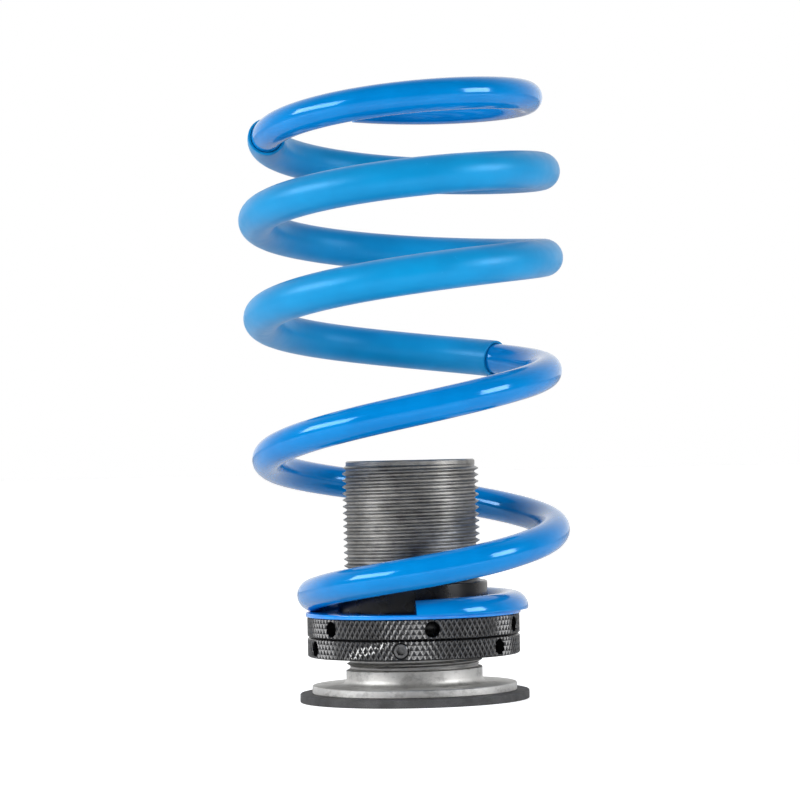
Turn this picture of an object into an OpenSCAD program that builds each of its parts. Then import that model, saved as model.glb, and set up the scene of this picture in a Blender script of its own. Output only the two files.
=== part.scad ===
// Height adjuster and coil spring of a car's suspension strut: a threaded steel sleeve with a foot
// flange on a rubber pad, a lock ring and a spring seat ring on its thread, and a progressive coil
// spring with a protective hose on its upper turns. Millimetres, +Z up along the thread's axis, with
// the origin at the middle of the pad's underside. Threads are plain annular grooves here.

/* [Base] */
// Outside diameter of the rubber pad
pad_d = 87.4; // [82:0.2:110]
// Thickness of the rubber pad
pad_t = 3.2; // [2:0.1:6]
// Outside diameter of the foot flange
flange_d = 78; // [70:0.5:81]
// Thickness of the foot flange
flange_t = 3; // [2:0.1:5]

/* [Threaded sleeve] */
// Outside diameter of the thread and of the neck under it
thread_d = 52; // [40:0.5:54]
// Pitch of the thread
thread_pitch = 2.5; // [1.5:0.5:3]
// Depth of the thread, from crest to root
thread_depth = 1.45; // [0.8:0.05:1.6]
// Wall of the sleeve under the thread's root
sleeve_wall = 3.55; // [2.5:0.05:6]
// Length of the sleeve, foot to top
sleeve_len = 88; // [76:1:130]
// Height of the plain neck above the flange
neck_h = 6.2; // [4:0.1:9]
// Radius of the fillet between neck and flange
neck_fillet = 2.6; // [1:0.1:3.5]
// Width of the relief groove between neck and thread
relief_w = 1.4; // [1:0.1:2]
// Height of the plain land above the thread
land_h = 2; // [1.5:0.1:4]

/* [Rings] */
// Outside diameter of both rings
ring_d = 81; // [76:0.5:100]
// Height of the lock ring
lock_ring_h = 7.3; // [6.8:0.1:12]
// Height of the seat ring's rim
seat_ring_h = 7.6; // [6.8:0.1:12]
// Gap between the two rings
ring_gap = 0.3; // [0.3:0.05:1]
// Height of the lock ring above the neck
ring_lift = 4.8; // [4.2:0.1:20]
// Wall of the hub that centres the spring
hub_wall = 2.44; // [1.5:0.02:5]
// Height of the hub above the rim
hub_h = 12.6; // [8:0.1:16]
// Number of spanner holes in each ring
hole_count = 6; // [4:1:8]
// Diameter of a spanner hole
hole_d = 5.8; // [4:0.1:6.2]
// Depth of a spanner hole
hole_depth = 8; // [5:0.5:10]
// Angle of the seat ring's first hole from the front
seat_hole_angle = 10; // [-30:1:30]
// Angle of the lock ring's first hole from the front
lock_hole_angle = -7; // [-30:1:30]

/* [Lock screw] */
// Diameter of the lock screw
screw_d = 6; // [5:0.5:6.5]
// Length of the soft pellet between the screw and the thread
pellet_len = 2.2; // [1:0.1:4]
// Size across the flats of its hex socket
socket_af = 3; // [2:0.5:3.5]
// Depth of its hex socket
socket_depth = 3; // [2:0.5:4]

/* [Slip ring] */
// Thickness of the slip ring between seat ring and spring
slip_t = 1.6; // [1:0.1:3]
// How far the slip ring stands out past the seat ring's rim
slip_proud = 0.5; // [-2:0.1:2]

/* [Coil spring] */
// Diameter of the wire
wire_d = 12; // [9:0.5:14.5]
// Gap between the hub and the lower end's turn
hub_clearance = 3.5; // [1:0.1:6]
// Diameter to the middle of the wire in the body
body_coil_d = 109.6; // [90:0.5:135]
// Diameter to the middle of the wire at the upper end
top_coil_d = 100.6; // [80:0.5:120]
// Turns of wire
turns = 5.56; // [5.3:0.02:5.9]
// Rise of the open turns
open_rise = 185.2; // [150:1:225]
// Lean of the coil's axis backwards, in degrees
lean_back = 1.6; // [0:0.1:2]
// Lean of the coil's axis to the left, in degrees
lean_left = 0.7; // [0:0.1:2]

/* [Protective hose] */
// Wall of the hose
hose_wall = 1; // [0.6:0.1:1.6]
// Turn at which the hose starts
hose_from = 2.39; // [1.75:0.05:3]
// Turn at which the hose ends
hose_to = 4.78; // [3.5:0.05:4.9]

/* [Hidden] */
$fn = 96;

// Clearances
running_gap = 0.06;     // between a ring's bore and the thread's crests, all round
screw_gap = 0.05;       // between the lock screw and its hole, all round
slip_gap = 0.3;         // between the slip ring and the hub, all round
hose_gap = 0.2;         // between the hose and the wire, all round
pad_hole_margin = 1;    // of the pad's hole round the sleeve's bore
tip_inset = 0.3;        // of the lock screw's outer end from the ring's rim

// Edges
edge = 0.6;             // chamfer on a ring's rim
bore_edge = 1;          // chamfer in the mouth of a bore
hub_edge = 0.8;         // chamfer on the hub
flange_edge = 0.3;      // chamfer on the flange
screw_edge = 0.5;       // chamfer on the lock screw's ends

// Heights
flange_z = pad_t;
neck_z = flange_z + flange_t;
neck_top = neck_z + neck_h;
thread_z = neck_top + relief_w;
sleeve_top = flange_z + sleeve_len;
lock_z = neck_top + ring_lift;
seat_ring_z = lock_z + lock_ring_h + ring_gap;
slip_z = seat_ring_z + seat_ring_h;
seat_z = slip_z + slip_t;
hub_top = slip_z + hub_h;

// Radii and diameters
crest_r = thread_d / 2;
root_r = crest_r - thread_depth;
bore_r = root_r - sleeve_wall;
ring_bore_r = crest_r + running_gap;
rim_r = ring_d / 2;
hub_r = ring_bore_r + hub_wall;
end_coil_r = hub_r + hub_clearance + wire_d / 2;

// Colours
steel = [0.55, 0.55, 0.56];
black_anodised = [0.10, 0.10, 0.11];
rubber_black = [0.13, 0.13, 0.14];
spring_blue = [0.02, 0.35, 0.80];
hose_blue = [0.04, 0.42, 0.80];
nylon = [0.90, 0.90, 0.86];
dark_steel = [0.35, 0.35, 0.36];

// --- Threaded sleeve -------------------------------------------------------------------------

// Outline of n thread grooves from height z, as points from the bottom up.
crest_w = thread_pitch / 8;
root_w = thread_pitch / 4;
flank_w = (thread_pitch - crest_w - root_w) / 2;
function grooves(z, n) = [
    for (k = [0 : n - 1], p = [[crest_r, 0], [crest_r, crest_w],
                               [root_r, crest_w + flank_w], [root_r, thread_pitch - flank_w]])
        [p[0], z + k * thread_pitch + p[1]]];

// Quarter round between a wall of radius r and a floor at height z.
function fillet(r, z, size, steps = 8) = [
    for (a = [0 : 90 / steps : 90]) [r + size * (1 - sin(a)), z + size * (1 - cos(a))]];

module threaded_sleeve() {
    groove_count = floor((sleeve_top - land_h - thread_z) / thread_pitch);
    thread_top = thread_z + groove_count * thread_pitch;
    flange_r = flange_d / 2;
    color(steel)
        rotate_extrude()
            polygon(concat(
                [[bore_r, flange_z + bore_edge], [bore_r + bore_edge, flange_z],
                 [flange_r - flange_edge, flange_z], [flange_r, flange_z + flange_edge],
                 [flange_r, neck_z - flange_edge], [flange_r - flange_edge, neck_z]],
                fillet(crest_r, neck_z, neck_fillet),
                [[crest_r, neck_top - flange_edge], [crest_r - flange_edge, neck_top],
                 [root_r, neck_top], [root_r, thread_z - flank_w]],
                grooves(thread_z, groove_count),
                [[root_r, thread_top], [root_r, sleeve_top - edge], [root_r - edge, sleeve_top],
                 [bore_r + bore_edge, sleeve_top], [bore_r, sleeve_top - bore_edge]]));
}

module base_pad() {
    color(rubber_black)
        difference() {
            cylinder(d = pad_d, h = pad_t);
            translate([0, 0, -1])
                cylinder(r = bore_r + bore_edge + pad_hole_margin, h = pad_t + 2);
        }
}

// --- Rings -----------------------------------------------------------------------------------

// Rim of a ring from height z to top, with a hub on it up to bore_top where that is higher.
module ring_blank(z, top, bore_top) {
    shoulder = bore_top > top
        ? [[hub_r, top], [hub_r, bore_top - hub_edge], [hub_r - hub_edge, bore_top]] : [];
    rotate_extrude()
        polygon(concat(
            [[ring_bore_r + edge, z], [rim_r - edge, z], [rim_r, z + edge],
             [rim_r, top - edge], [rim_r - edge, top]],
            shoulder,
            [[ring_bore_r + edge, bore_top], [ring_bore_r, bore_top - edge],
             [ring_bore_r, z + edge]]));
}

// Turns its child, which lies along +X, to an angle from the front and lifts it to height z.
module at_rim(angle, z) {
    translate([0, 0, z])
        rotate([0, 0, angle - 90])
            children();
}

module spanner_holes(first, z, skip_first = false) {
    for (k = [(skip_first ? 1 : 0) : hole_count - 1])
        at_rim(first + k * 360 / hole_count, z)
            translate([rim_r - hole_depth, 0, 0])
                rotate([0, 90, 0])
                    cylinder(d = hole_d, h = hole_depth + 1, $fn = 32);
}

lock_mid = lock_z + lock_ring_h / 2;

module lock_ring() {
    color(black_anodised)
        difference() {
            ring_blank(lock_z, lock_z + lock_ring_h, lock_z + lock_ring_h);
            spanner_holes(lock_hole_angle, lock_mid, skip_first = true);
            at_rim(lock_hole_angle, lock_mid)
                rotate([0, 90, 0])
                    cylinder(d = screw_d + 2 * screw_gap, h = ring_d, $fn = 32);
        }
}

module seat_ring() {
    color(black_anodised)
        difference() {
            ring_blank(seat_ring_z, slip_z, hub_top);
            spanner_holes(seat_hole_angle, seat_ring_z + seat_ring_h / 2);
        }
}

module slip_ring() {
    color(spring_blue)
        translate([0, 0, slip_z])
            difference() {
                cylinder(r = rim_r + slip_proud, h = slip_t);
                translate([0, 0, -1])
                    cylinder(r = hub_r + slip_gap, h = slip_t + 2);
            }
}

// --- Lock screw ------------------------------------------------------------------------------

pellet_foot = ring_bore_r;
screw_foot = pellet_foot + pellet_len;
screw_tip = rim_r - tip_inset;
screw_len = screw_tip - screw_foot;

module lock_screw() {
    end_d = screw_d - 2 * screw_edge;
    color(dark_steel)
        at_rim(lock_hole_angle, lock_mid)
            difference() {
                translate([screw_foot, 0, 0])
                    rotate([0, 90, 0])
                        union() {
                            cylinder(d1 = end_d, d2 = screw_d, h = screw_edge, $fn = 32);
                            translate([0, 0, screw_edge])
                                cylinder(d = screw_d, h = screw_len - 2 * screw_edge, $fn = 32);
                            translate([0, 0, screw_len - screw_edge])
                                cylinder(d1 = screw_d, d2 = end_d, h = screw_edge, $fn = 32);
                        }
                translate([screw_tip - socket_depth, 0, 0])
                    rotate([0, 90, 0])
                        cylinder(d = socket_af / cos(30), h = socket_depth + 1, $fn = 6);
            }
}

module lock_screw_pad() {
    color(nylon)
        at_rim(lock_hole_angle, lock_mid)
            translate([pellet_foot, 0, 0])
                rotate([0, 90, 0])
                    cylinder(d = screw_d - 2 * screw_gap, h = pellet_len, $fn = 32);
}

// --- Coil spring -----------------------------------------------------------------------------

// Height of the wire's middle above the seat at each quarter turn: the closed end in wire
// diameters, then the open turns as shares of their rise. The pitch is widest low down and
// tightens upwards.
closed_end = [-0.15, 0.016, 0.25, 0.56, 1.167];
open_share = [0.082, 0.1725, 0.2401, 0.319, 0.4085, 0.4781, 0.532, 0.5873, 0.6418, 0.6894,
              0.7352, 0.7806, 0.821, 0.8594, 0.9032, 0.9441, 0.9756, 1, 1.023, 1.047];
quarter_turn_z = concat(closed_end * wire_d,
                        [for (s = open_share) closed_end[4] * wire_d + s * open_rise]);

// Turns over which the coil widens from its lower end and narrows to its upper end, and over which
// its radius eases in or out by the third number.
widen = [0.8, 1.1];
narrow = [4.3, 4.62];
waist = [[1.25, 1.7, -1.3], [1.85, 2.25, 0.5], [2.75, 3.1, 0.8]];

stations = 36;          // rings of points in a turn
sides = 12;             // points round the wire
round_up = sqrt(PI / (sides / 2 * sin(360 / sides)));   // gives the polygon the circle's area

function ease(t, span) =
    let (s = min(max((t - span[0]) / (span[1] - span[0]), 0), 1)) s * s * (3 - 2 * s);

function coil_r(t) = end_coil_r
    + (body_coil_d / 2 - end_coil_r) * ease(t, widen)
    + (top_coil_d - body_coil_d) / 2 * ease(t, narrow)
    + sum([for (w = waist) w[2] * ease(t, w)]);

function sum(v, i = 0) = i < len(v) ? v[i] + sum(v, i + 1) : 0;

function slope(i) = i == 0 ? quarter_turn_z[1] - quarter_turn_z[0]
                           : (quarter_turn_z[i + 1] - quarter_turn_z[i - 1]) / 2;

function coil_z(t) =
    let (i = min(floor(4 * t), len(quarter_turn_z) - 3), f = 4 * t - i,
         a = quarter_turn_z[i], b = quarter_turn_z[i + 1])
    a + f * slope(i) + f * f * (3 * (b - a) - 2 * slope(i) - slope(i + 1))
      + f * f * f * (2 * (a - b) + slope(i) + slope(i + 1));

// Bearing of the wire at turn t, in degrees from +X. The wire starts at the front.
function bearing(t) = 360 * t - 92;

// Middle of the wire at turn t, before the axis leans
function coil_point(t) =
    [coil_r(t) * cos(bearing(t)), coil_r(t) * sin(bearing(t)), coil_z(t)];

function leaned(p) =
    let (y = p[1] * cos(lean_back) + p[2] * sin(lean_back),
         z = p[2] * cos(lean_back) - p[1] * sin(lean_back))
    [p[0] * cos(lean_left) - z * sin(lean_left), y, p[0] * sin(lean_left) + z * cos(lean_left)];

// Ring of points of radius r round the wire at turn t. Points under the seat are ground off level.
function wire_ring(t, r) =
    let (step = 0.002, p = coil_point(t), d = coil_point(t + step) - coil_point(t - step),
         along = d / norm(d), out = [cos(bearing(t)), sin(bearing(t)), 0],
         e = out - (out * along) * along, side = e / norm(e), up = cross(along, side))
    [for (k = [0 : sides - 1])
        let (a = 360 * k / sides, q = leaned(p + r * round_up * (cos(a) * side + sin(a) * up)))
        [q[0], q[1], seat_z + max(q[2], 0)]];

// Triangles between ring a and ring b of point indices, each starting at that index.
function wall(a, b) = [
    for (k = [0 : sides - 1]) let (n = (k + 1) % sides) each [[a + k, b + n, a + n], [a + k, b + k, b + n]]];

module coil_spring() {
    last = round(turns * stations);
    start = 0.01;
    rings = [for (i = [0 : last]) wire_ring(max(i / stations, start), wire_d / 2)];
    color(spring_blue)
        polyhedron(
            points = [for (r = rings) each r],
            faces = concat(
                [for (i = [0 : last - 1]) each wall(i * sides, (i + 1) * sides)],
                [[for (k = [0 : sides - 1]) k]],
                [[for (k = [sides - 1 : -1 : 0]) last * sides + k]]),
            convexity = 12);
}

module spring_hose() {
    first = round(hose_from * stations);
    last = round(hose_to * stations);
    count = last - first + 1;
    inner = wire_d / 2 + hose_gap;
    outer = [for (i = [first : last]) each wire_ring(i / stations, inner + hose_wall)];
    inside = [for (i = [first : last]) each wire_ring(i / stations, inner)];
    core = count * sides;
    far = (count - 1) * sides;
    color(hose_blue)
        polyhedron(
            points = concat(outer, inside),
            faces = concat(
                [for (i = [0 : count - 2]) each wall(i * sides, (i + 1) * sides)],
                [for (i = [0 : count - 2]) each wall(core + (i + 1) * sides, core + i * sides)],
                wall(core, 0),
                wall(far, core + far)),
            convexity = 12);
}

threaded_sleeve();
base_pad();
lock_ring();
lock_screw();
lock_screw_pad();
seat_ring();
slip_ring();
coil_spring();
spring_hose();
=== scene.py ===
"""Height adjuster and coil spring of a suspension strut, dressed for a studio picture.

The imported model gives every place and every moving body. The turned, knurled, threaded and coiled
pieces are modelled here in millimetres on the same axis, then brought to metres.
"""
import math

import bmesh
import bpy
from mathutils import Matrix, Vector


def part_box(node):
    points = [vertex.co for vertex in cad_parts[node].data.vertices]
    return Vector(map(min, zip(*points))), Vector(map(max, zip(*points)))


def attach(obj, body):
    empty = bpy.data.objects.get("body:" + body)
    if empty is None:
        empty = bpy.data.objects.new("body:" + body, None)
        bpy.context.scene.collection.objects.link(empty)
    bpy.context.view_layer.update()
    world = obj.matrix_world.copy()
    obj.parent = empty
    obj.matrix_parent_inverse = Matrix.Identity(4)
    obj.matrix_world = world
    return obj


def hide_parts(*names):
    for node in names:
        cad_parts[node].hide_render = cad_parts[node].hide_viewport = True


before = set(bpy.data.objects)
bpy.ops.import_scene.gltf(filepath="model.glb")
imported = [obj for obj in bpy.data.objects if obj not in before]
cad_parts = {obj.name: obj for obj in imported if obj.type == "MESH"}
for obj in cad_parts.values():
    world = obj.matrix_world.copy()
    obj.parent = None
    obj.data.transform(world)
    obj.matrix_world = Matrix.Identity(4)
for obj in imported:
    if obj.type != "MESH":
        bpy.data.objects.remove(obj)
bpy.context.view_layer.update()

MM = 0.001


def height(node, end):
    """Lowest (end 0) or highest (end 1) point of a CAD node, in millimetres."""
    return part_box(node)[end].z / MM


# Heights, from the frame
PAD_TOP = height("base_pad", 1)
SLEEVE_TOP = height("threaded_sleeve", 1)
LOCK_Z = height("lock_ring", 0)
LOCK_TOP = height("lock_ring", 1)
SEAT_RING_Z = height("seat_ring", 0)
HUB_TOP = height("seat_ring", 1)
SLIP_Z = height("slip_ring", 0)
SEAT_Z = height("slip_ring", 1)

# Sizes of the sleeve, in millimetres
THREAD_R = 26.0
THREAD_DEPTH = 1.45
THREAD_PITCH = 2.5
BORE_R = 21.0
FLANGE_R = 39.0
FLANGE_TOP = PAD_TOP + 3.0
NECK_TOP = FLANGE_TOP + 6.2
RELIEF = 1.4
NECK_FILLET = 2.6
BORE_CHAMFER = 1.0
BROKEN_EDGE = 0.3
RUN_OUT = 0.5
LAND = 1.9
PAD_R = 43.7
PAD_BORE_R = 23.0

# Sizes of the two knurled rings and the slip ring
RIM_R = 40.5
RING_BORE_R = 26.06
HUB_R = 28.5
RIM_EDGE = 0.6
RIM_BEVEL = 0.55
HUB_ROUND = 0.8
SLIP_CLEARANCE = 0.3
SLIP_PROUD = 0.5
KNURL_COUNT = 116
KNURL_ROWS = 4
KNURL_ROW = 1.9
KNURL_DEPTH = 0.55
KNURL_CREST = 0.09
HOLE_R = 2.9
HOLE_DEPTH = 8.0
HOLE_CHAMFER = 0.45
HOLES = 6
SEAT_RING_BEARING = -80.0
LOCK_RING_BEARING = -97.0

# Bright scuff on the lock ring's rim, painted near-white so that it is also a painted glint: where it
# is, how it rises, and half its length and height
SCUFF_GLINT_BEARING = -116.0
SCUFF_GLINT_RISE = 16.0
SCUFF_GLINT_HALF = (10.5, 2.0)

# Lock screw
SCREW_R = 3.0
SCREW_PITCH = 1.0
SCREW_THREAD_DEPTH = 0.55
SCREW_EDGE = 0.5
SCREW_HOLE_R = SCREW_R + 0.05
SCREW_TIP = RIM_R - 0.3
SCREW_FOOT = RING_BORE_R + 2.2
SOCKET_FLATS = 3.0
SOCKET_DEPTH = 3.0

# Coil: radii to the middle of the wire, the turns over which it widens and narrows, its smaller
# changes of radius (first turn, last turn, change) and heights above the seat at each quarter turn
WIRE_R = 6.0
END_R = 38.0
BODY_R = 54.8
TOP_R = 50.3
WIDEN = (0.8, 1.1)
NARROW = (4.3, 4.62)
WAIST = ((1.25, 1.7, -1.3), (1.85, 2.25, 0.5), (2.75, 3.1, 0.8))
WIRE_FROM = 0.01
TURNS = 5.56
START_BEARING = -92.0
CLOSED_END = (-1.8, 0.192, 3.0, 6.72, 14.004)
OPEN_RISE = 185.2
OPEN_SHARE = (0.082, 0.1725, 0.2401, 0.319, 0.4085, 0.4781, 0.532, 0.5873, 0.6418, 0.6894,
              0.7352, 0.7806, 0.821, 0.8594, 0.9032, 0.9441, 0.9756, 1, 1.023, 1.047)
LEAN_BACK = 1.6
LEAN_LEFT = 0.7

# Hose on the upper turns
HOSE_FROM = 2.39
HOSE_TO = 4.78
HOSE_R = 7.2
HOSE_WALL = 1.0

# How finely the coil is drawn
STEPS_PER_TURN = 96
SIDES = 32

# Camera: its place in metres, its turn in degrees and its lens in millimetres
CAMERA_PLACE = (-0.0004, -1.16, 0.0916)
CAMERA_TURN = (91.115, 1.245, 0.166)
CAMERA_LENS = 136.7

# Brightness of the room behind and in front of the object, as it lights and reflects, and how far
# towards the back (as the Y of a direction) it starts to brighten
BACK_ROOM = 1.0
FRONT_ROOM = 0.02
DIM_UP_TO = -0.1

# Broad light from above and in front: its strength, spread and turn in degrees
SKY_STRENGTH = 0.7
SKY_SPREAD = 80
SKY_TURN = (38, -10, 0)

# Floor: its width in metres, its grey, and how much it glows to the camera
FLOOR_SIZE = 40
FLOOR_GREY = 0.9
FLOOR_GLOW = 0.62


# --- Camera, floor and lights ------------------------------------------------------------------

def add_camera():
    bpy.ops.object.camera_add(
        location=CAMERA_PLACE,
        rotation=[math.radians(turn) for turn in CAMERA_TURN],
    )
    camera = bpy.context.object
    camera.name = "camera"
    camera.data.lens = CAMERA_LENS
    camera.data.sensor_width = 36
    camera.data.clip_start = 0.05
    bpy.context.scene.camera = camera


def add_softbox(name, place, size, power, aim=(0, 0, 0.12)):
    bpy.ops.object.light_add(type="AREA", location=place)
    box = bpy.context.object
    box.name = name
    box.data.shape = "RECTANGLE"
    box.data.size, box.data.size_y = size
    box.data.energy = power
    box.rotation_euler = (Vector(aim) - Vector(place)).to_track_quat("-Z", "Y").to_euler()
    box.visible_camera = False


def add_studio():
    """A white sweep seen by the camera, with a dim room in front of the object and light behind."""
    world = bpy.data.worlds.new("studio")
    bpy.context.scene.world = world
    world.use_nodes = True
    nodes, links = world.node_tree.nodes, world.node_tree.links
    nodes.clear()
    out = nodes.new("ShaderNodeOutputWorld")
    mix = nodes.new("ShaderNodeMixShader")
    seen = nodes.new("ShaderNodeBackground")
    seen.inputs["Color"].default_value = (1, 1, 1, 1)
    seen.inputs["Strength"].default_value = 1.0
    around = nodes.new("ShaderNodeBackground")
    around.inputs["Color"].default_value = (1, 1, 1, 1)
    toward = nodes.new("ShaderNodeTexCoord")
    split = nodes.new("ShaderNodeSeparateXYZ")
    depth = nodes.new("ShaderNodeMapRange")
    depth.interpolation_type = "SMOOTHSTEP"
    depth.inputs["From Min"].default_value = DIM_UP_TO
    depth.inputs["From Max"].default_value = 1.0
    depth.inputs["To Min"].default_value = FRONT_ROOM
    depth.inputs["To Max"].default_value = BACK_ROOM
    rays = nodes.new("ShaderNodeLightPath")
    links.new(toward.outputs["Object"], split.inputs["Vector"])
    links.new(split.outputs["Y"], depth.inputs["Value"])
    links.new(depth.outputs["Result"], around.inputs["Strength"])
    links.new(rays.outputs["Is Camera Ray"], mix.inputs["Fac"])
    links.new(around.outputs["Background"], mix.inputs[1])
    links.new(seen.outputs["Background"], mix.inputs[2])
    links.new(mix.outputs["Shader"], out.inputs["Surface"])

    bpy.ops.object.light_add(type="SUN", location=(-0.5, -1, 2))
    sky = bpy.context.object
    sky.name = "sky_panel"
    sky.data.energy = SKY_STRENGTH
    sky.data.angle = math.radians(SKY_SPREAD)
    sky.rotation_euler = [math.radians(turn) for turn in SKY_TURN]
    sky.visible_glossy = False

    add_softbox("left_box", (-1.15, -0.5, 0.6), (1.0, 0.45), 15)
    add_softbox("right_box", (1.1, -0.5, 0.5), (0.5, 0.5), 9)
    add_softbox("low_fill", (0.05, -0.34, 0.02), (0.5, 0.1), 0.6, aim=(0, 0, 0.05))
    bpy.data.objects["low_fill"].visible_glossy = False


def add_floor():
    """A matt white floor that glows a little, so that it meets the sweep without an edge."""
    bpy.ops.mesh.primitive_plane_add(size=FLOOR_SIZE, location=(0, 0, 0))
    floor = bpy.context.object
    floor.name = "floor"
    material = bpy.data.materials.new("white_sweep")
    material.use_nodes = True
    shader = material.node_tree.nodes["Principled BSDF"]
    shader.inputs["Base Color"].default_value = (FLOOR_GREY,) * 3 + (1,)
    shader.inputs["Roughness"].default_value = 0.9
    shader.inputs["Specular IOR Level"].default_value = 0.1
    shader.inputs["Emission Color"].default_value = (1, 1, 1, 1)
    rays = material.node_tree.nodes.new("ShaderNodeLightPath")
    glow = material.node_tree.nodes.new("ShaderNodeMath")
    glow.operation = "MULTIPLY"
    glow.inputs[1].default_value = FLOOR_GLOW
    material.node_tree.links.new(rays.outputs["Is Camera Ray"], glow.inputs[0])
    material.node_tree.links.new(glow.outputs[0], shader.inputs["Emission Strength"])
    floor.data.materials.append(material)


# --- Materials ---------------------------------------------------------------------------------

class Recipe:
    """A material on a Principled shader, with short ways to add the nodes of a procedural finish."""

    def __init__(self, name):
        self.material = bpy.data.materials.new(name)
        self.material.use_nodes = True
        self.nodes = self.material.node_tree.nodes
        self.links = self.material.node_tree.links
        self.shader = self.nodes["Principled BSDF"]
        coordinates = self.nodes.new("ShaderNodeTexCoord")
        self.millimetres = self.node(
            "ShaderNodeMapping", {"Scale": (1 / MM,) * 3}, Vector=coordinates.outputs["Object"])

    def node(self, kind, values=None, **sources):
        """A node with its sockets set to values or joined to sources."""
        made = self.nodes.new(kind)
        for socket, value in (values or {}).items():
            made.inputs[socket].default_value = value
        for socket, source in sources.items():
            self.links.new(self.output(source), made.inputs[socket.replace("_", " ")])
        return made

    @staticmethod
    def output(source):
        return source if isinstance(source, bpy.types.NodeSocket) else source.outputs[0]

    def settings(self, **values):
        for socket, value in values.items():
            self.shader.inputs[socket.replace("_", " ")].default_value = value

    def stretched(self, scale, rotation=(0, 0, 0)):
        """Millimetre coordinates, scaled to draw a pattern out along an axis."""
        return self.node("ShaderNodeMapping", {"Scale": scale, "Rotation": rotation},
                         Vector=self.millimetres)

    def noise(self, size, detail=3.0, roughness=0.55, along=None):
        """Noise whose blotches are about size millimetres across."""
        return self.node("ShaderNodeTexNoise",
                         {"Scale": 1 / size, "Detail": detail, "Roughness": roughness},
                         Vector=along or self.millimetres)

    def ramp(self, source, stops):
        """Colours or greys between the given places from 0 to 1."""
        made = self.node("ShaderNodeValToRGB", Fac=source)
        band = made.color_ramp
        while len(band.elements) < len(stops):
            band.elements.new(0.5)
        for element, (place, colour) in zip(band.elements, stops):
            element.position = place
            grey = isinstance(colour, (int, float))
            element.color = (colour, colour, colour, 1) if grey else (*colour, 1)
        return made

    def maths(self, operation, first, second):
        made = self.nodes.new("ShaderNodeMath")
        made.operation = operation
        for socket, value in zip(made.inputs, (first, second)):
            if isinstance(value, (int, float)):
                socket.default_value = value
            else:
                self.links.new(self.output(value), socket)
        return made

    def blend(self, factor, first, second, mode="MIX"):
        """Colour mix of two colours or nodes."""
        made = self.nodes.new("ShaderNodeMix")
        made.data_type = "RGBA"
        made.blend_type = mode
        for socket, value in ((0, factor), (6, first), (7, second)):
            if isinstance(value, (int, float)):
                made.inputs[socket].default_value = value
            elif isinstance(value, tuple):
                made.inputs[socket].default_value = (*value, 1)
            else:
                self.links.new(self.output(value), made.inputs[socket])
        return made.outputs[2]

    def bump(self, source, depth, strength=1.0, under=None):
        """Bump of the given depth in millimetres, on top of another bump if there is one."""
        made = self.node("ShaderNodeBump", {"Strength": strength, "Distance": depth * MM},
                         Height=source)
        if under:
            self.links.new(under.outputs[0], made.inputs["Normal"])
        return made

    def distance_from_axis(self):
        """Distance from the Z axis in millimetres."""
        flat = self.node("ShaderNodeMapping", {"Scale": (1, 1, 0)}, Vector=self.millimetres)
        length = self.node("ShaderNodeVectorMath", Vector=flat)
        length.operation = "LENGTH"
        return length.outputs["Value"]

    def finish(self, colour=None, roughness=None, normal=None):
        for socket, source in (("Base Color", colour), ("Roughness", roughness), ("Normal", normal)):
            if source is not None:
                self.links.new(self.output(source), self.shader.inputs[socket])
        return self.material


def turned_steel():
    """Raw turned steel: fine tool lines round the axis, dull patches and dark smears; the neck and
    flange are lighter and duller, partly their own finish and partly a painted reflection.
    """
    steel = Recipe("turned_steel")
    lines = steel.noise(0.16, 2, 0.6, steel.stretched((0.03, 0.03, 1.0)))
    patches = steel.noise(9, 5, 0.65)
    smears = steel.noise(3.5, 4, 0.7, steel.stretched((0.6, 0.6, 1.0)))
    tone = steel.ramp(patches, [(0.3, (0.30, 0.295, 0.285)), (0.7, (0.47, 0.465, 0.455))])
    stain = steel.ramp(smears, [(0.34, 0.62), (0.5, 1.0)])
    # painted reflection: the neck and flange get a lighter steel colour, partly their own finish
    neck_finish_and_painted_reflection = steel.ramp(patches, [(0.3, (0.62, 0.615, 0.60)), (0.7, (0.82, 0.815, 0.80))])
    height_mm = steel.node("ShaderNodeSeparateXYZ", Vector=steel.millimetres).outputs["Z"]
    neck = steel.node("ShaderNodeMapRange", {"From Min": NECK_TOP + 0.6, "From Max": NECK_TOP - 0.2},
                      Value=height_mm)
    colour = steel.blend(0.75, steel.blend(neck, tone, neck_finish_and_painted_reflection), stain, "MULTIPLY")
    dull = steel.maths("MULTIPLY", neck, 0.16)
    gloss = steel.maths("ADD", steel.ramp(patches, [(0.25, 0.32), (0.75, 0.46)]), dull)
    steel.settings(Metallic=1.0)
    return steel.finish(colour, gloss, steel.bump(lines, 0.03, 0.5))


def anodised_black(name, scuffed_and_glinting=False):
    """Black anodised aluminium, polished grey by handling on whatever stands proudest."""
    black = Recipe(name)
    reach = black.distance_from_axis()
    crest = black.node("ShaderNodeMapRange", {"From Min": RIM_R - 0.2, "From Max": RIM_R - 0.04},
                       Value=reach)
    patches = black.ramp(black.noise(5, 4, 0.6), [(0.35, 0.3), (0.65, 1.0)])
    wear = black.maths("MULTIPLY", crest, patches)
    colour = black.blend(wear, (0.006, 0.006, 0.007), (0.13, 0.13, 0.133))
    if scuffed_and_glinting:
        # painted glint: a near-white patch on the lock ring's ridges, partly a real scuff
        colour = black.blend(scuff_and_painted_glint(black, crest), colour, (0.95, 0.95, 0.94))
    grain = black.noise(0.25, 3)
    gloss = black.ramp(black.noise(6, 3), [(0.3, 0.24), (0.7, 0.36)])
    black.settings(Metallic=0.35, Coat_Weight=0.3, Coat_Roughness=0.15)
    return black.finish(colour, gloss, black.bump(grain, 0.01, 0.35))


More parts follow.
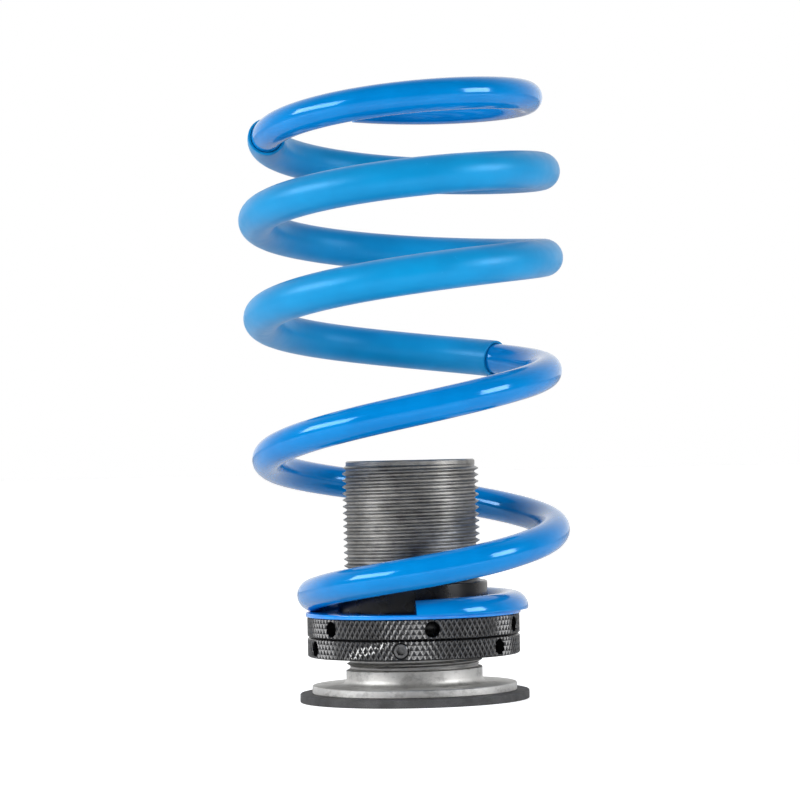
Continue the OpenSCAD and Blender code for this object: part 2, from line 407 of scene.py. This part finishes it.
def scuff_and_painted_glint(black, crest):
    """Where a spanner has slipped across the lock ring and bared the metal of the ridges; the patch
    is painted near-white, so it is partly a painted glint.
    """
    turn = math.radians(-90 - SCUFF_GLINT_BEARING)
    facing = black.node("ShaderNodeMapping",
                        {"Rotation": (0, 0, turn), "Location": (0, RIM_R, -(LOCK_Z + LOCK_TOP) / 2)},
                        Vector=black.millimetres)
    level = black.node("ShaderNodeMapping", {"Rotation": (0, math.radians(SCUFF_GLINT_RISE), 0)},
                       Vector=facing)
    across = black.node("ShaderNodeMapping", {"Scale": (1 / SCUFF_GLINT_HALF[0], 0, 1 / SCUFF_GLINT_HALF[1])},
                        Vector=level)
    length = black.node("ShaderNodeVectorMath", Vector=across)
    length.operation = "LENGTH"
    inside = black.node("ShaderNodeMapRange", {"From Min": 1.0, "From Max": 0.7},
                        Value=length.outputs["Value"])
    torn = black.ramp(black.noise(0.9, 3, 0.6), [(0.47, 0.0), (0.53, 1.0)])
    return black.maths("MULTIPLY", crest, black.maths("MULTIPLY", inside, torn))


def blue_powder_coat():
    """Gloss blue powder coat with a slight orange peel."""
    blue = Recipe("blue_powder_coat")
    tone = blue.ramp(blue.noise(14, 2), [(0.3, (0.0, 0.18, 0.52)), (0.7, (0.0, 0.215, 0.59))])
    peel = blue.noise(1.6, 2, 0.4)
    specks = blue.noise(0.5, 2)
    gloss = blue.ramp(blue.noise(7, 3), [(0.3, 0.1), (0.7, 0.16)])
    blue.settings(Specular_IOR_Level=0.6, Specular_Tint=(0.12, 0.5, 1.0, 1.0), Coat_Weight=0.3,
                  Coat_Roughness=0.1, Coat_IOR=1.5)
    return blue.finish(tone, gloss, blue.bump(peel, 0.03, 0.25, blue.bump(specks, 0.006, 0.2)))


def blue_hose():
    """Satin blue plastic hose with fine extrusion marks and a few scuffs."""
    hose = Recipe("blue_hose")
    tone = hose.ramp(hose.noise(18, 3), [(0.3, (0.0, 0.225, 0.51)), (0.7, (0.0, 0.265, 0.58))])
    scuffs = hose.ramp(hose.noise(2.2, 5, 0.75), [(0.66, 0.0), (0.74, 1.0)])
    colour = hose.blend(scuffs, tone, (0.03, 0.36, 0.74))
    gloss = hose.ramp(hose.noise(4, 4), [(0.3, 0.34), (0.7, 0.44)])
    hose.settings(Specular_IOR_Level=0.7, Specular_Tint=(0.25, 0.6, 1.0, 1.0), Sheen_Weight=0.12,
                  Sheen_Roughness=0.4)
    return hose.finish(colour, gloss, hose.bump(hose.noise(0.4, 3), 0.012, 0.3))


def slip_ring_blue():
    """Bright blue moulded slip ring."""
    ring = Recipe("slip_ring_blue")
    tone = ring.ramp(ring.noise(8, 3), [(0.3, (0.0, 0.22, 0.74)), (0.7, (0.0, 0.29, 0.86))])
    gloss = ring.ramp(ring.noise(3, 3), [(0.3, 0.16), (0.7, 0.26)])
    ring.settings(Coat_Weight=0.5, Coat_Roughness=0.08)
    return ring.finish(tone, gloss, ring.bump(ring.noise(0.6, 2), 0.01, 0.25))


def pad_rubber():
    """Cut sheet rubber, grey-black and finely grained."""
    rubber = Recipe("pad_rubber")
    grain = rubber.noise(0.35, 4, 0.7)
    bloom = rubber.noise(5, 4, 0.6)
    tone = rubber.ramp(bloom, [(0.3, (0.035, 0.035, 0.037)), (0.7, (0.075, 0.075, 0.077))])
    fleck = rubber.ramp(grain, [(0.45, 0.75), (0.7, 1.5)])
    colour = rubber.blend(0.8, tone, fleck, "MULTIPLY")
    gloss = rubber.ramp(grain, [(0.3, 0.62), (0.7, 0.8)])
    return rubber.finish(colour, gloss, rubber.bump(grain, 0.08, 0.6))


def screw_steel():
    """Hardened socket screw, dark with a light film of oil."""
    screw = Recipe("screw_steel")
    patches = screw.noise(1.4, 4, 0.6)
    tone = screw.ramp(patches, [(0.3, (0.13, 0.13, 0.135)), (0.7, (0.27, 0.27, 0.275))])
    gloss = screw.ramp(patches, [(0.3, 0.28), (0.7, 0.42)])
    screw.settings(Metallic=1.0)
    return screw.finish(tone, gloss, screw.bump(screw.noise(0.2, 2), 0.01, 0.4))


def natural_nylon():
    """Turned nylon pellet."""
    nylon = Recipe("natural_nylon")
    tone = nylon.ramp(nylon.noise(1.5, 3), [(0.3, (0.74, 0.72, 0.64)), (0.7, (0.84, 0.82, 0.75))])
    nylon.settings(Subsurface_Weight=0.1, Subsurface_Scale=0.001)
    return nylon.finish(tone, nylon.ramp(nylon.noise(0.6), [(0.3, 0.4), (0.7, 0.55)]))


# --- Modelling ---------------------------------------------------------------------------------

def deselect():
    if bpy.context.object and bpy.context.object.mode != "OBJECT":
        bpy.ops.object.mode_set(mode="OBJECT")
    bpy.ops.object.select_all(action="DESELECT")


def edit(piece):
    deselect()
    piece.select_set(True)
    bpy.context.view_layer.objects.active = piece
    bpy.ops.object.mode_set(mode="EDIT")


def pick(piece, kind, test):
    """In edit mode, selects only the vertices, edges or faces that pass the test."""
    bpy.ops.mesh.select_mode(type={"verts": "VERT", "edges": "EDGE", "faces": "FACE"}[kind])
    bpy.ops.mesh.select_all(action="DESELECT")
    mesh = bmesh.from_edit_mesh(piece.data)
    for part in getattr(mesh, kind):
        if test(part):
            part.select_set(True)
    mesh.select_flush_mode()
    bmesh.update_edit_mesh(piece.data)


def line(name, points):
    """Edges through the points, as a piece left in edit mode with its last point selected."""
    deselect()
    bpy.ops.mesh.primitive_plane_add(size=1, location=(0, 0, 0))
    piece = bpy.context.object
    piece.name = name
    bpy.ops.object.mode_set(mode="EDIT")
    bpy.ops.mesh.select_mode(type="VERT")
    bpy.ops.mesh.merge(type="CENTER")
    bpy.ops.transform.translate(value=points[0])
    for here, there in zip(points, points[1:]):
        step = Vector(there) - Vector(here)
        bpy.ops.mesh.extrude_vertices_move(TRANSFORM_OT_translate={"value": step})
    return piece


def tidy_mesh(piece):
    """Merges doubled points and turns the faces outwards."""
    edit(piece)
    bpy.ops.mesh.select_all(action="SELECT")
    bpy.ops.mesh.remove_doubles(threshold=0.001)
    bpy.ops.mesh.normals_make_consistent(inside=False)
    bpy.ops.object.mode_set(mode="OBJECT")
    return piece


def turned(name, outline, steps):
    """An outline of (radius, height) points spun once round the axis, closed unless it ends on it."""
    closed = outline if outline[0][0] == 0 else [*outline, outline[0]]
    piece = line(name, [(r, 0, z) for r, z in closed])
    bpy.ops.mesh.select_all(action="SELECT")
    bpy.ops.mesh.spin(steps=steps, angle=2 * math.pi, center=(0, 0, 0), axis=(0, 0, 1))
    return tidy_mesh(piece)


def apply_modifiers(piece):
    deselect()
    piece.select_set(True)
    bpy.context.view_layer.objects.active = piece
    for modifier in list(piece.modifiers):
        bpy.ops.object.modifier_apply(modifier=modifier.name)
    return piece


def cut(piece, cutter, operation="DIFFERENCE"):
    """Cuts one piece with another, or keeps what they share, and removes the cutter."""
    modifier = piece.modifiers.new(operation.lower(), "BOOLEAN")
    modifier.operation = operation
    modifier.solver = "MANIFOLD"
    modifier.object = cutter
    apply_modifiers(piece)
    bpy.data.objects.remove(cutter)
    return piece


def soften(piece, width, segments=2, angle=30):
    """Rounds the edges sharper than the angle."""
    modifier = piece.modifiers.new("soften", "BEVEL")
    modifier.width = width
    modifier.segments = segments
    modifier.limit_method = "ANGLE"
    modifier.angle_limit = math.radians(angle)
    return apply_modifiers(piece)


def thread_groove(name, crest_r, depth, pitch, start, turns, steps):
    """What a threading tool removes: a closed V section carried up a right-hand helix."""
    flat, crest_flat, clear = pitch / 4, pitch / 8, 1.0
    half = (pitch - crest_flat) / 2
    section = [(crest_r - depth, -flat / 2), (crest_r, -half), (crest_r + clear, -half),
               (crest_r + clear, half), (crest_r, half), (crest_r - depth, flat / 2),
               (crest_r - depth, -flat / 2)]
    groove = line(name, [(r, 0, start + z) for r, z in section])
    bpy.ops.mesh.select_all(action="SELECT")
    bpy.ops.mesh.remove_doubles(threshold=0.001)
    bpy.ops.object.mode_set(mode="OBJECT")
    helix = groove.modifiers.new("helix", "SCREW")
    helix.axis = "Z"
    helix.angle = 2 * math.pi
    helix.screw_offset = pitch
    helix.iterations = turns
    helix.steps = steps
    helix.render_steps = steps
    apply_modifiers(groove)
    edit(groove)
    bpy.ops.mesh.select_all(action="SELECT")
    bpy.ops.mesh.fill_holes(sides=0)
    bpy.ops.mesh.normals_make_consistent(inside=False)
    bpy.ops.object.mode_set(mode="OBJECT")
    return groove


def finish_piece(piece, body, slot, material, *nodes, smooth=30):
    """Brings a piece to metres, shades it and hands it to its body."""
    deselect()
    piece.select_set(True)
    bpy.context.view_layer.objects.active = piece
    piece.scale = (MM, MM, MM)
    bpy.ops.object.transform_apply(location=True, rotation=True, scale=True)
    bpy.ops.object.shade_smooth_by_angle(angle=math.radians(smooth))
    piece.data.materials.clear()
    piece.data.materials.append(material)
    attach(piece, body)
    if nodes:
        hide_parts(*nodes)


# --- Sleeve and pad ----------------------------------------------------------------------------

def arc(centre, size, start, end, steps):
    """Points round part of a circle in an outline, from one angle to another in degrees."""
    turn = [math.radians(start + (end - start) * k / steps) for k in range(steps + 1)]
    return [(centre[0] + size * math.cos(a), centre[1] + size * math.sin(a)) for a in turn]


def threaded_sleeve():
    root_r = THREAD_R - THREAD_DEPTH
    fillet = arc((THREAD_R + NECK_FILLET, FLANGE_TOP + NECK_FILLET), NECK_FILLET, 270, 180, 8)
    outline = [
        (BORE_R, PAD_TOP + BORE_CHAMFER), (BORE_R + BORE_CHAMFER, PAD_TOP),
        (FLANGE_R - BROKEN_EDGE, PAD_TOP), (FLANGE_R, PAD_TOP + BROKEN_EDGE),
        (FLANGE_R, FLANGE_TOP - BROKEN_EDGE), (FLANGE_R - BROKEN_EDGE, FLANGE_TOP),
        *fillet,
        (THREAD_R, NECK_TOP - BROKEN_EDGE), (THREAD_R - BROKEN_EDGE, NECK_TOP),
        (root_r - 0.1, NECK_TOP + 0.1), (root_r - 0.1, NECK_TOP + RELIEF - RUN_OUT),
        (THREAD_R, NECK_TOP + RELIEF + 0.6),
        (THREAD_R, SLEEVE_TOP - LAND - 0.7), (root_r + 0.1, SLEEVE_TOP - LAND),
        (root_r + 0.1, SLEEVE_TOP - RUN_OUT), (root_r - RUN_OUT, SLEEVE_TOP),
        (BORE_R + BORE_CHAMFER, SLEEVE_TOP), (BORE_R, SLEEVE_TOP - BORE_CHAMFER),
    ]
    sleeve = turned("sleeve", outline, 160)
    start = NECK_TOP - 1
    turns = math.ceil((SLEEVE_TOP + 1 - start) / THREAD_PITCH)
    groove = thread_groove("groove", THREAD_R, THREAD_DEPTH, THREAD_PITCH, start, turns, 160)
    return cut(sleeve, groove)


def base_pad():
    outline = [(PAD_BORE_R, 0), (PAD_R - 0.15, 0), (PAD_R, 0.2), (PAD_R - 0.05, PAD_TOP - 0.25),
               (PAD_R - 0.3, PAD_TOP), (PAD_BORE_R, PAD_TOP)]
    return turned("pad", outline, 160)


# --- Rings -------------------------------------------------------------------------------------

def knurled_stock(name, middle, top):
    """A bar with a net of ridges and pits round it at the given height, plain above that."""
    columns = 2 * KNURL_COUNT
    knurled = KNURL_ROWS * KNURL_ROW
    low = middle - knurled / 2
    deselect()
    bpy.ops.mesh.primitive_cylinder_add(vertices=columns, radius=RIM_R, depth=knurled,
                                        end_fill_type="NOTHING", location=(0, 0, middle))
    stock = bpy.context.object
    stock.name = name
    bpy.ops.object.transform_apply(location=True, rotation=False, scale=False)
    edit(stock)
    pick(stock, "edges", lambda e: abs(e.verts[0].co.z - e.verts[1].co.z) > 1)
    bpy.ops.mesh.subdivide(number_cuts=KNURL_ROWS - 1)

    def crossing(v):
        column = round(math.atan2(v.co.y, v.co.x) / (2 * math.pi) * columns)
        return (column + round((v.co.z - low) / KNURL_ROW)) % 2 == 0

    pick(stock, "verts", crossing)
    bpy.ops.mesh.vert_connect()
    pick(stock, "verts", lambda v: not crossing(v))
    shrink = 1 - KNURL_DEPTH / RIM_R
    bpy.ops.transform.resize(value=(shrink, shrink, 1), center_override=(0, 0, 0))
    pick(stock, "edges", lambda e: all(crossing(v) for v in e.verts) and not e.is_boundary)
    bpy.ops.mesh.bevel(offset=KNURL_CREST, segments=1, affect="EDGES")
    bpy.ops.mesh.select_mode(type="EDGE")
    for end, reach in ((low, -2.0), (low + knurled, top - low - knurled)):
        pick(stock, "edges", lambda e: e.is_boundary and abs(e.verts[0].co.z - end) < 0.5)
        bpy.ops.mesh.extrude_edges_move(TRANSFORM_OT_translate={"value": (0, 0, reach)})
    bpy.ops.mesh.select_all(action="SELECT")
    bpy.ops.mesh.fill_holes(sides=0)
    bpy.ops.mesh.normals_make_consistent(inside=False)
    bpy.ops.object.mode_set(mode="OBJECT")
    return stock


def drill(piece, bearing, middle, reach, tip, size=HOLE_R):
    """Drills a hole towards the axis, from outside the rim down to a pointed bottom at reach."""
    point = size * 0.6 if tip else 0
    direction = math.radians(bearing)
    mouth = size + HOLE_CHAMFER
    outline = [(0, reach - point), (size, reach), (size, RIM_R - 0.35), (mouth, RIM_R + 0.1),
               (mouth, RIM_R + 3), (0, RIM_R + 3)]
    bit = turned("bit", outline, 32)
    deselect()
    bit.select_set(True)
    bpy.context.view_layer.objects.active = bit
    bit.matrix_world = (Matrix.Rotation(direction, 4, "Z") @ Matrix.Translation((0, 0, middle))
                        @ Matrix.Rotation(math.pi / 2, 4, "Y"))
    bpy.ops.object.transform_apply(location=True, rotation=True, scale=False)
    return cut(piece, bit)


def ring(name, outline, z, top, bearing, screw_hole):
    middle = (z + top) / 2
    blank = turned(name, outline, 180)
    highest = max(height for _, height in outline)
    piece = cut(blank, knurled_stock("stock", middle, highest + 3), "INTERSECT")
    for k in range(HOLES):
        through = screw_hole and k == 0
        reach = RING_BORE_R - 2 if through else RIM_R - HOLE_DEPTH
        size = SCREW_HOLE_R if through else HOLE_R
        drill(piece, bearing + k * 360 / HOLES, middle, reach, not through, size)
    return piece


def rim_outline(z, top):
    return [(RING_BORE_R + RIM_EDGE, z), (RIM_R - RIM_EDGE, z), (RIM_R + 0.01, z + RIM_BEVEL),
            (RIM_R + 0.01, top - RIM_BEVEL), (RIM_R - RIM_EDGE, top)]


def lock_ring():
    outline = [*rim_outline(LOCK_Z, LOCK_TOP), (RING_BORE_R + RIM_EDGE, LOCK_TOP),
               (RING_BORE_R, LOCK_TOP - RIM_EDGE), (RING_BORE_R, LOCK_Z + RIM_EDGE)]
    return ring("lock_ring_knurled", outline, LOCK_Z, LOCK_TOP, LOCK_RING_BEARING, True)


def seat_ring():
    outline = [*rim_outline(SEAT_RING_Z, SLIP_Z),
               (HUB_R + 0.4, SLIP_Z), (HUB_R, SLIP_Z + 0.4),
               *arc((HUB_R - HUB_ROUND, HUB_TOP - HUB_ROUND), HUB_ROUND, 0, 90, 4),
               (RING_BORE_R + RIM_EDGE, HUB_TOP), (RING_BORE_R, HUB_TOP - RIM_EDGE),
               (RING_BORE_R, SEAT_RING_Z + RIM_EDGE)]
    return ring("seat_ring_knurled", outline, SEAT_RING_Z, SLIP_Z, SEAT_RING_BEARING, False)


def slip_ring():
    inner, outer = HUB_R + SLIP_CLEARANCE, RIM_R + SLIP_PROUD
    outline = [(inner, SLIP_Z), (outer, SLIP_Z), (outer, SEAT_Z), (inner, SEAT_Z)]
    piece = turned("slip_ring_moulded", outline, 160)
    return soften(piece, 0.3, 3)


# --- Lock screw --------------------------------------------------------------------------------

def lock_screw():
    """A socket set screw, turned along Z and then laid in its hole."""
    face_r = SCREW_R - SCREW_EDGE
    outline = [(0, SCREW_FOOT), (face_r, SCREW_FOOT), (SCREW_R, SCREW_FOOT + SCREW_EDGE),
               (SCREW_R, SCREW_TIP - SCREW_EDGE), (face_r, SCREW_TIP), (0, SCREW_TIP)]
    screw = turned("set_screw", outline, 48)
    turns = math.ceil(SCREW_TIP - SCREW_FOOT + 2)
    cut(screw, thread_groove("groove", SCREW_R, SCREW_THREAD_DEPTH, SCREW_PITCH, SCREW_FOOT - 1,
                             turns, 48))
    deselect()
    bpy.ops.mesh.primitive_cylinder_add(
        vertices=6, radius=SOCKET_FLATS / 2 / math.cos(math.pi / 6), depth=2 * SOCKET_DEPTH,
        location=(0, 0, SCREW_TIP))
    socket = bpy.context.object
    bpy.ops.object.transform_apply(location=True, rotation=False, scale=False)
    cut(screw, socket)
    deselect()
    screw.select_set(True)
    bpy.context.view_layer.objects.active = screw
    middle = (LOCK_Z + LOCK_TOP) / 2
    screw.matrix_world = (Matrix.Rotation(math.radians(LOCK_RING_BEARING), 4, "Z")
                          @ Matrix.Translation((0, 0, middle))
                          @ Matrix.Rotation(math.pi / 2, 4, "Y"))
    bpy.ops.object.transform_apply(location=True, rotation=True, scale=False)
    return screw


# --- Coil spring and hose ----------------------------------------------------------------------

def ease(t, span):
    share = min(max((t - span[0]) / (span[1] - span[0]), 0), 1)
    return share * share * (3 - 2 * share)


QUARTER_TURNS = [*CLOSED_END, *(CLOSED_END[4] + share * OPEN_RISE for share in OPEN_SHARE)]


def coil_height(t):
    """Height of the wire's middle above the seat, smooth through the quarter-turn heights."""
    k = min(math.floor(4 * t), len(QUARTER_TURNS) - 3)
    f = 4 * t - k

    def slope(i):
        if i == 0:
            return QUARTER_TURNS[1] - QUARTER_TURNS[0]
        return (QUARTER_TURNS[i + 1] - QUARTER_TURNS[i - 1]) / 2

    a, b, s, e = QUARTER_TURNS[k], QUARTER_TURNS[k + 1], slope(k), slope(k + 1)
    return a + f * s + f ** 2 * (3 * (b - a) - 2 * s - e) + f ** 3 * (2 * (a - b) + s + e)


def coil_point(t):
    """Middle of the wire at turn t, on the coil's leaning axis."""
    reach = END_R + (BODY_R - END_R) * ease(t, WIDEN) + (TOP_R - BODY_R) * ease(t, NARROW)
    reach += sum(change * ease(t, (start, end)) for start, end, change in WAIST)
    bearing = math.radians(360 * t + START_BEARING)
    upright = Vector((reach * math.cos(bearing), reach * math.sin(bearing), coil_height(t)))
    back = Matrix.Rotation(math.radians(-LEAN_BACK), 3, "X")
    left = Matrix.Rotation(math.radians(-LEAN_LEFT), 3, "Y")
    return left @ back @ upright + Vector((0, 0, SEAT_Z))


def sweep(name, first, last, size, caps):
    """A round bar along the coil from one turn to another."""
    steps = round((last - first) * STEPS_PER_TURN)
    points = [coil_point(first + (last - first) * k / steps) for k in range(steps + 1)]
    piece = line(name, points)
    bpy.ops.object.mode_set(mode="OBJECT")
    bpy.ops.object.convert(target="CURVE")
    piece = bpy.context.object
    piece.data.bevel_depth = size
    piece.data.bevel_resolution = SIDES // 2 - 2
    piece.data.use_fill_caps = caps
    bpy.ops.object.convert(target="MESH")
    return tidy_mesh(bpy.context.object)


def coil_spring():
    """The wire, its lower end ground flat on the seat."""
    wire = sweep("wire_coil", WIRE_FROM, TURNS, WIRE_R, True)
    edit(wire)
    bpy.ops.mesh.select_all(action="SELECT")
    bpy.ops.mesh.bisect(plane_co=(0, 0, SEAT_Z), plane_no=(0, 0, 1), use_fill=True, clear_inner=True)
    bpy.ops.object.mode_set(mode="OBJECT")
    return soften(wire, 0.35, 2, 50)


def spring_hose():
    hose = sweep("coil_hose", HOSE_FROM, HOSE_TO, HOSE_R, False)
    wall = hose.modifiers.new("wall", "SOLIDIFY")
    wall.thickness = HOSE_WALL
    wall.offset = -1
    apply_modifiers(hose)
    return soften(hose, 0.2, 2, 50)


# --- The object --------------------------------------------------------------------------------

add_camera()
add_studio()
add_floor()

steel = turned_steel()
black = anodised_black("anodised_black")
scuffed_glinting_black = anodised_black("scuffed_glinting_black", scuffed_and_glinting=True)

finish_piece(threaded_sleeve(), "sleeve", "sleeve_steel", steel, "threaded_sleeve", smooth=25)
finish_piece(base_pad(), "sleeve", "pad_rubber", pad_rubber(), "base_pad")
finish_piece(lock_ring(), "lock_ring", "ring_black", scuffed_glinting_black, "lock_ring", smooth=25)
finish_piece(seat_ring(), "seat_ring", "ring_black", black, "seat_ring", smooth=25)
finish_piece(slip_ring(), "slip_ring", "slip_ring_blue", slip_ring_blue(), "slip_ring")
finish_piece(lock_screw(), "lock_screw", "screw_steel", screw_steel(), "lock_screw")
finish_piece(coil_spring(), "spring", "spring_blue", blue_powder_coat(), "coil_spring")
finish_piece(spring_hose(), "spring", "hose_blue", blue_hose(), "spring_hose")

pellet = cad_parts["lock_screw_pad"]
pellet.data.materials.clear()
pellet.data.materials.append(natural_nylon())

bpy.context.scene.view_settings.view_transform = "Standard"
